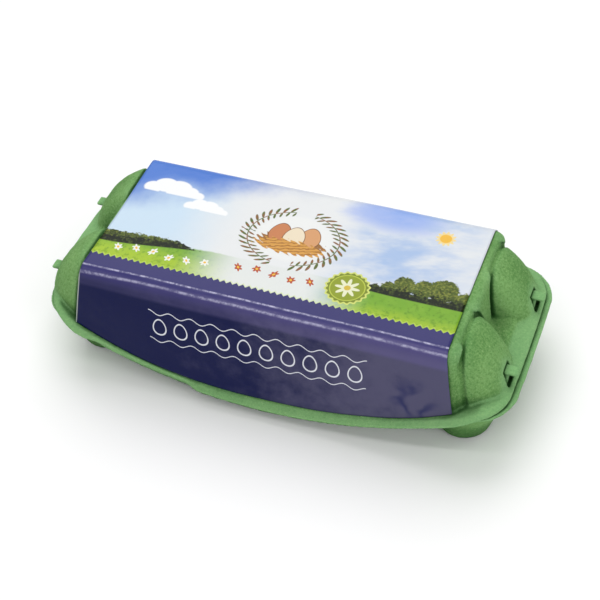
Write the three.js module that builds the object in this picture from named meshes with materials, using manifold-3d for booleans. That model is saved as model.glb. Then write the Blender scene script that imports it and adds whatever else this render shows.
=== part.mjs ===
// A shut moulded-pulp egg carton for ten eggs, two rows of five, with a printed paper label.
// Millimetres, +Z up, +X along the length, -Y is the front. The origin is under the middle, on the table.
import * as THREE from 'three';
import { mergeVertices } from 'three/addons/utils/BufferGeometryUtils.js';
import Module from 'manifold-3d';

const wasm = await Module();
wasm.setup();

// ---- Driving dimensions -------------------------------------------------------------------------
const HEIGHT = 65.5; // table to the top of the label
const LABEL_GAP = 0.3; // label to lid
const LABEL_SKIN = 0.3; // thickness of the label
const PANEL_TOP = HEIGHT - LABEL_GAP - LABEL_SKIN; // top of the lid's flat panel
const LID_X = -0.8; // the lid sits a little left of the tray's middle
const LID_Y = 0.9; // and a little behind it

// The lid's panel block: a flat top with round shoulders and drafted walls.
const PANEL_X = 0.9; // middle of the block along the length
const PANEL_HALF_X = 91.5; // flat top, middle to the start of an end's round edge
const PANEL_HALF_Y = 38.4; // flat top, middle to the start of a shoulder
const PANEL_CORNER = 3; // plan radius of the flat top's corners
const SHOULDER_R = 5.9; // round edge over the front and the back wall
const END_EDGE_R = 3.6; // round edge over an end wall
const WALL_DRAFT = THREE.MathUtils.degToRad(9); // front and back walls lean in
const END_DRAFT = THREE.MathUtils.degToRad(10); // end walls lean in
const WALL_DROP = 64; // the walls run on down past the parting surface, which cuts them off

// The rim where lid and tray meet: level at the ends and the back, dipping in a curve at the front.
const RIM_Z = 34; // height of the parting line at the ends and the back
const RIM_DIP_Z = 7; // its height at the middle of the front
const DIP_HALF_X = 108; // the dip starts this far from the middle
const DIP_BACK_Y = -8; // inside the pack the dip has run out here
const DIP_FRONT_Y = -44; // and is at its full depth here
const RIM_GAP = 0.4; // lid flange to tray flange
const FLANGE = 1.7; // thickness of both flanges

const LID_RIM = { midX: -1.3, halfX: 120.4, front: 54.7, back: 53.6, corner: 21, bowX: 1.4, bowY: 1.8 };
const TRAY_RIM = { midX: 0, halfX: 121.7, front: 51.2, back: 54.7, corner: 21, bowX: 1.2, bowY: 1.2 };
// The front left corner is pressed in.
const PRESS = { fromX: -74, spanX: 30, fromY: -8, spanY: 32, x: 5.4, y: 1 };
const LEAST_CORNER = 3; // plan radius of a rim's corner, however far it is moved in
const OVERCUT = 6; // lid and tray are made this far past the parting surface, which cuts them off
const FLARE_WIDTH = 3.4; // the lid's flange slopes over this width
const FLARE_RISE = 1.4; // and rises this much on its way in to the front wall
const END_RISE = 0.8; // rise of the flatter flange at the ends and the back
const STEEP_TO_X = 116; // the steeper flange at the front has run out here
const STEEP_FADE = 24; // over this length
const SKIRT_CORE = 12; // the skirt's level top ends this far in from its edge, inside the block

// A shallow cut-back in the lid's front edge, left of the middle, where a thumb lifts it.
const NOTCH_FROM = -93;
const NOTCH_TO = -30;
const NOTCH_RAMP = 9;
const NOTCH_DEPTH = 2.3;

// Each row of cells ends in a blunt dome at both ends: the tip of a long superellipsoid.
const DOME = { x: -29.2, y: 24.1, z: 14.3, rx: 147.6, ry: 28.6, rz: 65.7, power: 3.2, topZ: 64 };
const DOME_SLICES = [0.83, 0.8, 0.76, 0.71, 0.65, 0.58, 0.5, 0.41, 0.31, 0.2, 0.08]; // sizes, towards its end
const DOME_ROOT = 12; // a dome starts this far inside the face of the end wall, behind its round corners
// Between them a web, then a step down to a platform that slopes to the rim.
const WEB = { fromX: 96, toX: 110.6, halfY: 9, topZ: 40.6 };
const PLATFORM = { toX: 119, innerHalfY: 7, outerHalfY: 18.5, innerZ: 38.9, outerZ: 36.2 };
const END_LOW_Z = 24; // domes, web and platform are made down to here

// A lock window beside each platform edge, with the tray's hook standing in it.
const LOCK_Y = 25; // from the middle of the lid
const WINDOW = { fromX: 110.4, toX: 117.2, halfY: 3.9, lowZ: 22, topZ: 44.8 };
const HOOK = { fromX: 112.8, stem: 2.2, toX: 119.6, halfY: 2.8, lowZ: 31, topZ: 44.2, nose: 1.6 };

// The tray's cups: round, tapered, with flat bottoms.
const PITCH = 47.6; // egg to egg along the length
const ROW_Y = 24.5; // middle to each row
const CUP_BASE_R = 7.6; // flat bottom
const CUP_FOOT_R = 6; // round edge over the flat bottom
const CUP_TOP_R = 22.2; // radius at the height of the rim
const CUP_TOP_POWER = 3; // a cup is round at its foot and squarer, a superellipse, at its top
const CUP_SECTIONS = [16, 26, 40]; // heights of its cross-sections above the foot
const WEB_UNDER = 14; // height of the tray's underside between cups
const WEB_INSETS = [46, 26, 21, 16]; // loops of the underside, in from the tray's rim
const THIN_FROM = 7; // within this distance of its rim the tray is as thin as its flange

// The hinge: a fold of pulp along the back that stands just clear of the lid's flange.
const HINGE = { halfX: 101, fromY: 53.9, toY: 54.7, lowZ: 31.6, highZ: 37.2 };

// The label: over the top panel, down most of the front wall and a little way down the back wall.
const LABEL_HALF_X = 91; // half width on the top panel
const LABEL_FLARE = 0.156; // it widens with the lid, per mm below the top
const LABEL_FRONT_MID_Z = 12.8; // lower edge at the middle of the front
const LABEL_FRONT_END_Z = 32.4; // lower edge at its corners
const LABEL_EDGE_POWER = 2.3; // shape of the curve between them
const LABEL_BACK_Z = 44; // lower edge on the back wall

// Half sizes and height of a box that holds the whole pack with room to spare.
const OUTER_X = 132;
const OUTER_Y = 60;
const OUTER_Z = 90;

const COLOURS = { pulp: 0x3f9a4a, tray: 0x37873f, label: 0x27236b };

// ---- Mesh helpers -------------------------------------------------------------------------------

// A closed mesh from a stack of loops that all have the same number of points, capped at both ends.
function loftLoops(loops) {
  const count = loops[0].length;
  const positions = loops.flat().flatMap((p) => [p.x, p.y, p.z]);
  const index = [];
  for (let ring = 0; ring + 1 < loops.length; ring++) {
    for (let i = 0; i < count; i++) {
      const a = ring * count + i;
      const b = ring * count + ((i + 1) % count);
      index.push(a, b, b + count, a, b + count, a + count);
    }
  }
  for (const [ring, flip] of [[0, true], [loops.length - 1, false]]) {
    const centre = loops[ring].reduce((sum, p) => sum.add(p), new THREE.Vector3()).divideScalar(count);
    const hub = positions.length / 3;
    positions.push(centre.x, centre.y, centre.z);
    for (let i = 0; i < count; i++) {
      const a = ring * count + i;
      const b = ring * count + ((i + 1) % count);
      index.push(...(flip ? [b, a, hub] : [a, b, hub]));
    }
  }
  return indexed(positions, index);
}

function indexed(positions, index) {
  const geometry = new THREE.BufferGeometry();
  geometry.setAttribute('position', new THREE.Float32BufferAttribute(positions, 3));
  geometry.setIndex(index);
  return geometry;
}

// A closed thin skin from a grid of outer points and the same grid of inner points.
function skin(outer, inner) {
  const rows = outer.length;
  const cols = outer[0].length;
  const positions = [...outer.flat(), ...inner.flat()].flatMap((p) => [p.x, p.y, p.z]);
  const index = [];
  const at = (side, row, col) => side * rows * cols + row * cols + col;
  const quad = (a, b, c, d) => index.push(a, b, c, a, c, d);
  for (let r = 0; r + 1 < rows; r++) {
    for (let c = 0; c + 1 < cols; c++) {
      quad(at(0, r, c), at(0, r, c + 1), at(0, r + 1, c + 1), at(0, r + 1, c));
      quad(at(1, r, c), at(1, r + 1, c), at(1, r + 1, c + 1), at(1, r, c + 1));
    }
  }
  for (let c = 0; c + 1 < cols; c++) {
    quad(at(0, 0, c), at(1, 0, c), at(1, 0, c + 1), at(0, 0, c + 1));
    quad(at(0, rows - 1, c), at(0, rows - 1, c + 1), at(1, rows - 1, c + 1), at(1, rows - 1, c));
  }
  for (let r = 0; r + 1 < rows; r++) {
    quad(at(0, r, 0), at(0, r + 1, 0), at(1, r + 1, 0), at(1, r, 0));
    quad(at(0, r, cols - 1), at(1, r, cols - 1), at(1, r + 1, cols - 1), at(0, r + 1, cols - 1));
  }
  return indexed(positions, index);
}

function toSolid(geometry) {
  const bare = geometry.clone();
  bare.deleteAttribute('normal');
  bare.deleteAttribute('uv');
  const merged = mergeVertices(bare, 1e-4);
  const solid = new wasm.Manifold(new wasm.Mesh({
    numProp: 3,
    vertProperties: new Float32Array(merged.attributes.position.array),
    triVerts: new Uint32Array(merged.index.array),
  }));
  return solid;
}

function toGeometry(solid) {
  const mesh = solid.getMesh();
  return indexed(Array.from(mesh.vertProperties), Array.from(mesh.triVerts));
}

function box(fromX, toX, fromY, toY, fromZ, toZ) {
  const geometry = new THREE.BoxGeometry(toX - fromX, toY - fromY, toZ - fromZ);
  geometry.translate((fromX + toX) / 2, (fromY + toY) / 2, (fromZ + toZ) / 2);
  return toSolid(geometry);
}

const smooth = (t) => THREE.MathUtils.smoothstep(t, 0, 1);
const union = (solids) => solids.reduce((sum, solid) => sum.add(solid));

// ---- Shared curves ------------------------------------------------------------------------------

// The points of a rounded rectangle, anticlockwise, each with the outward normal of its outline.
function roundedRectangle(halfX, halfY, radius, sideSteps, cornerSteps) {
  const points = [];
  const corners = [[1, -1, -90], [1, 1, 0], [-1, 1, 90], [-1, -1, 180]];
  corners.forEach(([sx, sy, start], k) => {
    const cx = sx * (halfX - radius);
    const cy = sy * (halfY - radius);
    for (let i = 0; i <= cornerSteps; i++) {
      const angle = THREE.MathUtils.degToRad(start + (90 * i) / cornerSteps);
      const nx = Math.cos(angle);
      const ny = Math.sin(angle);
      points.push({ x: cx + radius * nx, y: cy + radius * ny, nx, ny });
    }
    const [nextX, nextY] = corners[(k + 1) % 4];
    const from = points[points.length - 1];
    const steps = sideSteps[k % 2];
    const toX = nextX * (halfX - (k % 2 ? radius : 0));
    const toY = nextY * (halfY - (k % 2 ? 0 : radius));
    for (let i = 1; i < steps; i++) {
      const t = i / steps;
      const x = from.x + (toX - from.x) * t;
      const y = from.y + (toY - from.y) * t;
      points.push({ x, y, nx: from.nx, ny: from.ny });
    }
  });
  return points;
}

// A rim's plan: a rounded rectangle whose sides bow outwards, moved in by an inset.
function rimPlan(rim, inset) {
  const halfX = rim.halfX - rim.bowX - inset;
  const halfY = (rim.front + rim.back) / 2 - rim.bowY / 2 - inset;
  const midY = (rim.back - rim.front + rim.bowY) / 2;
  const corner = Math.max(rim.corner - inset, LEAST_CORNER);
  return roundedRectangle(halfX, halfY, corner, [6, 32], 6).map((p) => {
    const bowX = rim.bowX * (p.x / halfX) * (1 - (p.y / halfY) ** 2);
    const bowY = p.y < 0 ? -rim.bowY * (1 - (p.x / halfX) ** 2) * (-p.y / halfY) : 0;
    const x = p.x + bowX + rim.midX;
    const y = p.y + bowY + midY;
    const press = smooth((PRESS.fromX - x) / PRESS.spanX) * smooth((PRESS.fromY - y) / PRESS.spanY);
    return { ...p, x: x + PRESS.x * press, y: y + PRESS.y * press };
  });
}

// Height of the parting line where the front rim dips.
const dip = (x) => (RIM_Z - RIM_DIP_Z) * Math.max(0, 1 - ((x - LID_X) / DIP_HALF_X) ** 2);

// Height of the surface that parts lid and tray.
function partingZ(x, y) {
  return RIM_Z - dip(x) * smooth((DIP_BACK_Y - y) / (DIP_BACK_Y - DIP_FRONT_Y));
}

// How far the front edge is cut back at x, from 0 to 1.
function notch(x) {
  return smooth((x - NOTCH_FROM) / NOTCH_RAMP) * smooth((NOTCH_TO - x) / NOTCH_RAMP);
}

// ---- Lid ----------------------------------------------------------------------------------------

// The block's profile at one point of the flat top's outline: over the round edge and down the wall.
function panelPoint(p, angle, drop, offset = 0) {
  const side = p.ny * p.ny;
  const radius = END_EDGE_R + (SHOULDER_R - END_EDGE_R) * side + offset;
  const draft = END_DRAFT + (WALL_DRAFT - END_DRAFT) * side;
  const turn = Math.min(angle, Math.PI / 2 - draft);
  const out = radius * Math.sin(turn) + drop * Math.tan(draft);
  const z = PANEL_TOP + offset - radius * (1 - Math.cos(turn)) - drop;
  return new THREE.Vector3(p.x + p.nx * out, p.y + p.ny * out + LID_Y, z);
}

const EDGE_STEPS = 6;
const edgeAngle = (k) => (k / EDGE_STEPS) * (Math.PI / 2 - WALL_DRAFT);

function panelBlock() {
  const plan = roundedRectangle(PANEL_HALF_X, PANEL_HALF_Y, PANEL_CORNER, [4, 12], 4)
    .map((p) => ({ ...p, x: p.x + PANEL_X }));
  const loops = [];
  for (const drop of [WALL_DROP, 0]) loops.push(plan.map((p) => panelPoint(p, Math.PI / 2, drop)));
  for (let k = EDGE_STEPS - 1; k >= 0; k--) loops.push(plan.map((p) => panelPoint(p, edgeAngle(k), 0)));
  return toSolid(loftLoops(loops));
}

// The skirt under the block: from the flange's outer edge up and in to the wall, filled solid.
function lidSkirt() {
  const frontNotch = (p) => (p.ny < -0.5 ? notch(p.x) : 0);
  const edge = rimPlan(LID_RIM, 0).map((p) => ({ ...p, y: p.y + NOTCH_DEPTH * frontNotch(p) }));
  const neck = rimPlan(LID_RIM, FLARE_WIDTH);
  const core = rimPlan(LID_RIM, SKIRT_CORE);
  const steep = (p) => smooth(-p.ny) * smooth((STEEP_TO_X - Math.abs(p.x - LID_X)) / STEEP_FADE);
  const base = (p) => RIM_Z - (p.y < 0 ? dip(p.x) : 0);
  const rise = (p) => END_RISE + (FLARE_RISE - END_RISE) * steep(p);
  const loop = (points, z) => points.map((p, i) => new THREE.Vector3(p.x, p.y, z(edge[i])));
  return toSolid(loftLoops([
    loop(core, (p) => base(p) - OVERCUT),
    loop(edge, (p) => base(p) - OVERCUT),
    loop(edge, (p) => base(p) + FLANGE),
    loop(neck, (p) => base(p) + FLANGE + rise(p)),
    loop(core, (p) => base(p) + FLANGE + rise(p)),
  ]));
}

// The tip of a superellipsoid, as slices that shrink towards its end.
function dome(signX, signY) {
  const { rx, ry, rz, power } = DOME;
  const steps = 40;
  const loops = DOME_SLICES.map((share) => {
    const x = DOME.x + rx * (1 - share ** power) ** (1 / power);
    return Array.from({ length: steps }, (_, i) => {
      const c = Math.cos((2 * Math.PI * i) / steps);
      const s = Math.sin((2 * Math.PI * i) / steps);
      const reach = share / (Math.abs(c) ** power + Math.abs(s) ** power) ** (1 / power);
      return new THREE.Vector3(x, LID_Y + signY * DOME.y + ry * reach * c, DOME.z + rz * reach * s);
    });
  });
  const body = placed(toSolid(loftLoops(loops)), signX, LID_X);
  return body.intersect(placed(beyondEndWall(), signX, PANEL_X));
}

// A piece of the right end, mirrored for the left end, at its place along the length.
function placed(solid, signX, middleX) {
  return (signX > 0 ? solid : solid.mirror([1, 0, 0])).translate([middleX, 0, 0]);
}

// The space under the domes' top level and beyond a leaning plane inside the block's end.
function beyondEndWall() {
  const faceX = (z) => PANEL_HALF_X + END_EDGE_R + (PANEL_TOP - END_EDGE_R - z) * Math.tan(END_DRAFT);
  const loops = [END_LOW_Z, DOME.topZ].map((z) => {
    const innerX = faceX(z) - DOME_ROOT;
    const corners = [[innerX, -OUTER_Y], [OUTER_X, -OUTER_Y], [OUTER_X, OUTER_Y], [innerX, OUTER_Y]];
    return corners.map(([x, y]) => new THREE.Vector3(x, y, z));
  });
  return toSolid(loftLoops(loops));
}

// The web and the platform between the domes of one end.
function gusset(signX) {
  const webBox = box(WEB.fromX, WEB.toX, LID_Y - WEB.halfY, LID_Y + WEB.halfY, END_LOW_Z, WEB.topZ);
  const corners = [
    [WEB.fromX, -PLATFORM.innerHalfY], [PLATFORM.toX, -PLATFORM.outerHalfY],
    [PLATFORM.toX, PLATFORM.outerHalfY], [WEB.fromX, PLATFORM.innerHalfY],
  ];
  const slope = (PLATFORM.innerZ - PLATFORM.outerZ) / (PLATFORM.toX - WEB.toX);
  const topZ = (x) => PLATFORM.outerZ + (PLATFORM.toX - x) * slope;
  const top = corners.map(([x, y]) => new THREE.Vector3(x, y + LID_Y, topZ(x)));
  const low = corners.map(([x, y]) => new THREE.Vector3(x, y + LID_Y, END_LOW_Z));
  return placed(webBox.add(toSolid(loftLoops([low, top]))), signX, LID_X);
}

function lockWindow(signX, signY) {
  const y = LID_Y + signY * LOCK_Y;
  const cut = box(WINDOW.fromX, WINDOW.toX, y - WINDOW.halfY, y + WINDOW.halfY, WINDOW.lowZ, WINDOW.topZ);
  return placed(cut, signX, LID_X);
}

// ---- Tray ---------------------------------------------------------------------------------------

function cup(x, y) {
  const steps = 24;
  const taper = Math.atan2(CUP_TOP_R - CUP_BASE_R - CUP_FOOT_R, RIM_Z - CUP_FOOT_R);
  const sections = [{ r: CUP_BASE_R, z: 0 }];
  const footSteps = 4;
  for (let k = 1; k <= footSteps; k++) {
    const turn = (k / footSteps) * (Math.PI / 2 - taper);
    sections.push({ r: CUP_BASE_R + CUP_FOOT_R * Math.sin(turn), z: CUP_FOOT_R * (1 - Math.cos(turn)) });
  }
  const foot = sections[sections.length - 1];
  for (const z of CUP_SECTIONS) sections.push({ r: foot.r + (z - foot.z) * Math.tan(taper), z });
  const loops = sections.map(({ r, z }) => {
    const power = 2 + (CUP_TOP_POWER - 2) * smooth((z - CUP_FOOT_R) / (RIM_Z - CUP_FOOT_R));
    const loop = [];
    for (let i = 0; i < steps; i++) {
      const c = Math.cos((2 * Math.PI * i) / steps);
      const s = Math.sin((2 * Math.PI * i) / steps);
      const reach = r / (Math.abs(c) ** power + Math.abs(s) ** power) ** (1 / power);
      loop.push(new THREE.Vector3(x + reach * c, y + reach * s, z));
    }
    return loop;
  });
  return toSolid(loftLoops(loops));
}

// The web between the cups with the flange round it, as thick as the flange at its edge.
function traySlab() {
  const under = (p) => partingZ(p.x, p.y) - RIM_GAP - FLANGE;
  const deep = (p) => Math.min(under(p), WEB_UNDER);
  const loop = (inset, z) => rimPlan(TRAY_RIM, inset).map((p) => new THREE.Vector3(p.x, p.y, z(p)));
  const deepLoops = WEB_INSETS.map((inset) => loop(inset, deep));
  const rimLoops = [loop(THIN_FROM, under), loop(0, under), loop(0, () => RIM_Z + OVERCUT)];
  return toSolid(loftLoops([...deepLoops, ...rimLoops]));
}

// A hook: a stem that stands in the lid's window and a nose that juts out over it.
function hook(signX, signY) {
  const y = LID_Y + signY * LOCK_Y;
  const stem = box(HOOK.fromX, HOOK.fromX + HOOK.stem, y - HOOK.halfY, y + HOOK.halfY, HOOK.lowZ, HOOK.topZ);
  const nose = box(HOOK.fromX, HOOK.toX, y - HOOK.halfY, y + HOOK.halfY, HOOK.topZ - HOOK.nose, HOOK.topZ);
  return placed(stem.add(nose), signX, 0);
}

// ---- Parting ------------------------------------------------------------------------------------

// Everything above the parting surface, lowered by a given amount.
function aboveParting(lower) {
  const cols = 40;
  const rows = 9;
  const span = DIP_BACK_Y - DIP_FRONT_Y;
  const ys = Array.from({ length: rows + 1 }, (_, r) => DIP_FRONT_Y + (span * r) / rows);
  const row = (y, z) => Array.from({ length: cols + 1 }, (_, c) => {
    const x = OUTER_X * ((2 * c) / cols - 1);
    return new THREE.Vector3(x, y, z(x, y));
  });
  const grid = (z) => [-OUTER_Y, ...ys, OUTER_Y].map((y) => row(y, z));
  return toSolid(skin(grid(() => OUTER_Z), grid((x, y) => partingZ(x, y) - lower)));
}

// ---- Label --------------------------------------------------------------------------------------

const labelHalfX = (z) => LABEL_HALF_X + LABEL_FLARE * (PANEL_TOP - z);

function labelFrontZ(x) {
  const t = Math.min(1, Math.abs(x) / labelHalfX(LABEL_FRONT_END_Z));
  return LABEL_FRONT_MID_Z + (LABEL_FRONT_END_Z - LABEL_FRONT_MID_Z) * t ** LABEL_EDGE_POWER;
}

// One layer of the label, as rows from the front edge over the top to the back edge.
function labelLayer(offset) {
  const cols = 30;
  const wallRows = 3;
  const rowAt = (ny, angle, drop) => (u) => {
    const z = panelPoint({ x: 0, y: 0, nx: 0, ny }, angle, drop, offset).z;
    const x = LID_X + u * labelHalfX(z);
    return panelPoint({ x, y: ny * PANEL_HALF_Y, nx: 0, ny }, angle, drop, offset);
  };
  const wallTop = panelPoint({ x: 0, y: 0, nx: 0, ny: 1 }, Math.PI / 2, 0, offset).z;
  const rows = [rowAt(1, Math.PI / 2, wallTop - LABEL_BACK_Z)];
  for (let k = EDGE_STEPS; k >= 0; k--) rows.push(rowAt(1, edgeAngle(k), 0));
  for (let k = 0; k <= EDGE_STEPS; k++) rows.push(rowAt(-1, edgeAngle(k), 0));
  for (let k = 1; k <= wallRows; k++) {
    rows.push((u) => {
      const end = wallTop - labelFrontZ(u * labelHalfX(LABEL_FRONT_END_Z));
      return rowAt(-1, Math.PI / 2, (end * k) / wallRows)(u);
    });
  }
  return rows.reverse().map((row) => Array.from({ length: cols + 1 }, (_, c) => row((2 * c) / cols - 1)));
}

// ---- The object ---------------------------------------------------------------------------------

const ends = [-1, 1];
const lockPlaces = ends.flatMap((x) => ends.map((y) => [x, y]));
const rough = (colour) => new THREE.MeshStandardMaterial({ color: colour, roughness: 0.95, metalness: 0 });

function lid() {
  const body = union([
    panelBlock(),
    lidSkirt(),
    ...lockPlaces.map(([x, y]) => dome(x, y)),
    ...ends.map((x) => gusset(x)),
  ]);
  const windows = union(lockPlaces.map(([x, y]) => lockWindow(x, y)));
  const cutBody = body.intersect(aboveParting(0)).subtract(windows);
  const mesh = new THREE.Mesh(toGeometry(cutBody), rough(COLOURS.pulp));
  mesh.name = 'lid';
  return mesh;
}

function tray() {
  const cups = [];
  for (let column = -2; column <= 2; column++) {
    for (const row of ends) cups.push(cup(column * PITCH, row * ROW_Y));
  }
  const body = union([traySlab(), ...cups]).subtract(aboveParting(RIM_GAP));
  const hinge = box(-HINGE.halfX, HINGE.halfX, HINGE.fromY, HINGE.toY, HINGE.lowZ, HINGE.highZ);
  const whole = union([body, hinge, ...lockPlaces.map(([x, y]) => hook(x, y))]);
  const mesh = new THREE.Mesh(toGeometry(whole), rough(COLOURS.tray));
  mesh.name = 'tray';
  return mesh;
}

function label() {
  const geometry = skin(labelLayer(LABEL_GAP + LABEL_SKIN), labelLayer(LABEL_GAP));
  const mesh = new THREE.Mesh(geometry, new THREE.MeshStandardMaterial({
    color: COLOURS.label, roughness: 0.3, metalness: 0,
  }));
  mesh.name = 'label';
  return mesh;
}

const carton = new THREE.Group();
carton.add(lid(), tray(), label());

export default carton;
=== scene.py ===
"""The looks of a shut egg carton: fine pulp shells, a printed paper label, a pale floor and soft light."""

import math

import bpy
import numpy as np
from mathutils import Matrix, Vector


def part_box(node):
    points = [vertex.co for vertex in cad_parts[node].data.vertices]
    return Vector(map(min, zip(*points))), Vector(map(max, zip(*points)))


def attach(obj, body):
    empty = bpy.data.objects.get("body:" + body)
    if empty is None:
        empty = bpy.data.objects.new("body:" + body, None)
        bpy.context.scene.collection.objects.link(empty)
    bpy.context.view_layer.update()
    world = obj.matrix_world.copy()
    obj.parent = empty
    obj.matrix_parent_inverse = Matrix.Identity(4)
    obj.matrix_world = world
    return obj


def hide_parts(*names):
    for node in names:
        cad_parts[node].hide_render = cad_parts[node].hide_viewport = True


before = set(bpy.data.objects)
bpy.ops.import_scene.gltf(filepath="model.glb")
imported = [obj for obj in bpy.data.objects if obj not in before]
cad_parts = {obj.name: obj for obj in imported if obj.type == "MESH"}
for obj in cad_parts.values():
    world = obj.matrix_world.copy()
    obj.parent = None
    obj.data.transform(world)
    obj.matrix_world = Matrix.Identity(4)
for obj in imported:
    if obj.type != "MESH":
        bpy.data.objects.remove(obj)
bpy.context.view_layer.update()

MM = 0.001


def box_mm(node):
    """Lowest and highest corner of a CAD node, in millimetres."""
    return [np.array(corner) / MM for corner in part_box(node)]


# ---- Sizes, in millimetres ----------------------------------------------------------------------
LID_LOW, LID_HIGH = box_mm("lid")
TRAY_LOW, TRAY_HIGH = box_mm("tray")
LABEL_LOW, LABEL_HIGH = box_mm("label")

STEP = 0.8  # side of the cubes that the pulp shells are worked out on
MOST_TRIANGLES = 190000  # of one shell
SETTLE_PASSES = 3  # for moving the points of a shell on to its surface

# The lid's block: a flat top with round edges and drafted walls.
PANEL_TOP = LID_HIGH[2]
LID_X, LID_Y = -0.8, 0.9  # the middle of the lid and of the label
PANEL_X = 0.9  # the middle of the block along the length
PANEL_HALF_X = 91.5  # flat top, to the start of an end's round edge
PANEL_HALF_Y = 38.4  # flat top, to the start of a shoulder
PANEL_CORNER = 3.0
SHOULDER_R = 5.9  # round edge over the front and the back wall
END_EDGE_R = 3.6  # round edge over an end wall
WALL_DRAFT = math.radians(9)
END_DRAFT = math.radians(10)

# The rim, which dips in a curve at the front.
RIM_Z = 34.0
RIM_DIP = 27.0
DIP_HALF_X = 108.0
DIP_BACK_Y = -8.0
DIP_FRONT_Y = -44.0
RIM_GAP = 0.4  # between the two flanges
FLANGE = 1.7  # thickness of both flanges
FLARE_WIDTH = 3.4  # over this width inside its edge the lid's flange gets thicker
FLARE_RISE = 1.4  # by so much at the front
END_RISE = 0.8  # and by so much elsewhere
FLARE_FRONT_Y = -40  # where the front begins
NOTCH_FROM, NOTCH_TO, NOTCH_RAMP, NOTCH_DEPTH = -93.0, -30.0, 9.0, 2.3
RIM_CORNER = 21.0
LID_RIM = {"middle": -1.3, "half": 120.4, "front": LID_LOW[1], "back": LID_HIGH[1], "bow": (1.4, 1.8)}
TRAY_RIM = {"middle": 0.0, "half": 121.7, "front": TRAY_LOW[1], "back": TRAY_HIGH[1], "bow": (1.2, 1.2)}
PRESS_FROM, PRESS_SPAN, PRESS = (-74.0, -8.0), (30.0, 32.0), (5.4, 1.0)  # front left corner, pressed in

# The ends of the lid: domes, the web and platform between them, and the lock windows.
DOME_X, DOME_Y, DOME_Z = -29.2, 24.1, 14.3
DOME_RADII = (147.6, 28.6, 65.7)
DOME_POWER = 3.2
DOME_TOP = 64.0
DOME_ROOT = 12.0  # a dome starts this far inside the face of the end wall
CREASE_IN, CREASE_HALF_WIDTH, CREASE_DEPTH = 1.0, 1.9, 1.6  # round a dome's foot, inside that face
CREASE_REACH = 1.4  # the crease fades out this far outside the dome
JOINT_WIDTH, JOINT_DEPTH = 1.7, 0.4  # the fainter groove where a dome leaves the block
WEB_FROM, WEB_TO, WEB_HALF_Y, WEB_TOP = 96.0, 110.6, 9.0, 40.6
PLATFORM_TO, PLATFORM_INNER_Y, PLATFORM_OUTER_Y = 119.0, 7.0, 18.5
PLATFORM_INNER_Z, PLATFORM_OUTER_Z = 38.9, 36.2
LOCK_Y = 25.0
WINDOW_FROM, WINDOW_TO, WINDOW_HALF_Y, WINDOW_TOP = 110.4, 117.2, 3.9, 44.8
HOOK_FROM, HOOK_STEM, HOOK_TO, HOOK_HALF_Y, HOOK_TOP, HOOK_NOSE = 112.8, 2.2, 119.6, 2.8, 44.2, 1.6

# The tray's cups.
PITCH = 47.6
ROW_Y = 24.5
CUP_BASE_R = 7.6  # flat bottom
CUP_FOOT_R = 6.0  # round edge of the bottom
CUP_TOP_R = 22.2
CUP_TOP_POWER = 3.0
CUP_TAPER = math.atan2(CUP_TOP_R - CUP_BASE_R - CUP_FOOT_R, RIM_Z - CUP_FOOT_R)
WEB_UNDER = 14.0  # height of the web's underside between the cups
TRAY_FLANGE_WIDTH, WEB_SLOPE_WIDTH = 6, 11  # the flange, then the slope from it down to the web

# The label.
LABEL_HALF_X = 91.0
LABEL_FLARE = 0.156  # it widens with the lid, per mm below the top
LABEL_FRONT_END_Z = 32.4
LABEL_FRONT_MID_Z = LABEL_LOW[2]
LABEL_EDGE_POWER = 2.3
LABEL_BACK_Z = 44.0
PAPER_INNER, PAPER_OUTER = 0.3, 0.55  # the two faces, out from the lid's block
PAPER_COLUMNS = 150
FRONT_ROWS, EDGE_ROWS, TOP_ROWS, BACK_ROWS = 44, 14, 60, 12
PAPER_OFF, PAPER_BULGE = 0.05, 0.35  # the front stands off the pulp by the first, and bulges by the second
BULGE_LENGTH, BULGE_SEED = 60, 21

# The fold at the hinge: a bent strip, as places in front of the pack's back and heights.
HINGE_HALF_X = 101.0
HINGE_THICK = 0.9
HINGE_ROWS, HINGE_COLUMNS = 36, 180
HINGE_RELIEF = 0.12, ((16, 31), (12, 32))  # its depth, then a wavelength and a seed along y and z
HINGE_PATH = (
    (3.2, 32.3), (1.4, 31.7), (0.5, 32.4), (0.15, 34.2),
    (0.3, 35.9), (1.1, 37.0), (2.4, 37.1), (4.0, 36.6),
)

# The unevenness of moulded pulp: the pack's slow sway, and fine relief as depth, wavelength, seed.
SWAY_LENGTH, SWAY, SAG = 95, (0.2, 0.2, 0.1), (0, 0, 0.1)
RELIEF = ((0.05, 7, 11), (0.04, 3.6, 12))


# ---- Solids as distance fields ------------------------------------------------------------------
# A field is negative inside its solid. Its arguments are arrays of x, y and z in millimetres.


def smooth(t):
    """Rises smoothly from 0 to 1 as t does."""
    t = np.clip(t, 0, 1)
    return t * t * (3 - 2 * t)


def soft_abs(value, softness):
    """The size of a value, rounded off about 0."""
    return np.sqrt(value * value + softness * softness)


def joined(a, b, fillet):
    """Union of two solids with a fillet of about that width."""
    near = np.maximum(fillet - np.abs(a - b), 0) / fillet
    return np.minimum(a, b) - near * near * fillet / 4


def shared(a, b, radius):
    """What two solids have in common, with an edge of that radius."""
    edge = np.hypot(np.maximum(a + radius, 0), np.maximum(b + radius, 0))
    return np.minimum(np.maximum(a, b), -radius) + edge


def round_box(x, y, z, low, high, radius):
    """A box with round edges."""
    q = [np.abs(v - (a + b) / 2) - (b - a) / 2 + radius for v, a, b in zip((x, y, z), low, high)]
    outside = np.sqrt(sum(np.maximum(v, 0) ** 2 for v in q))
    return outside + np.minimum(np.maximum(np.maximum(q[0], q[1]), q[2]), 0) - radius


def dip(x):
    """How far the rim lies below its ends, at the front."""
    return RIM_DIP * np.maximum(0, 1 - ((x - LID_X) / DIP_HALF_X) ** 2)


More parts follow.
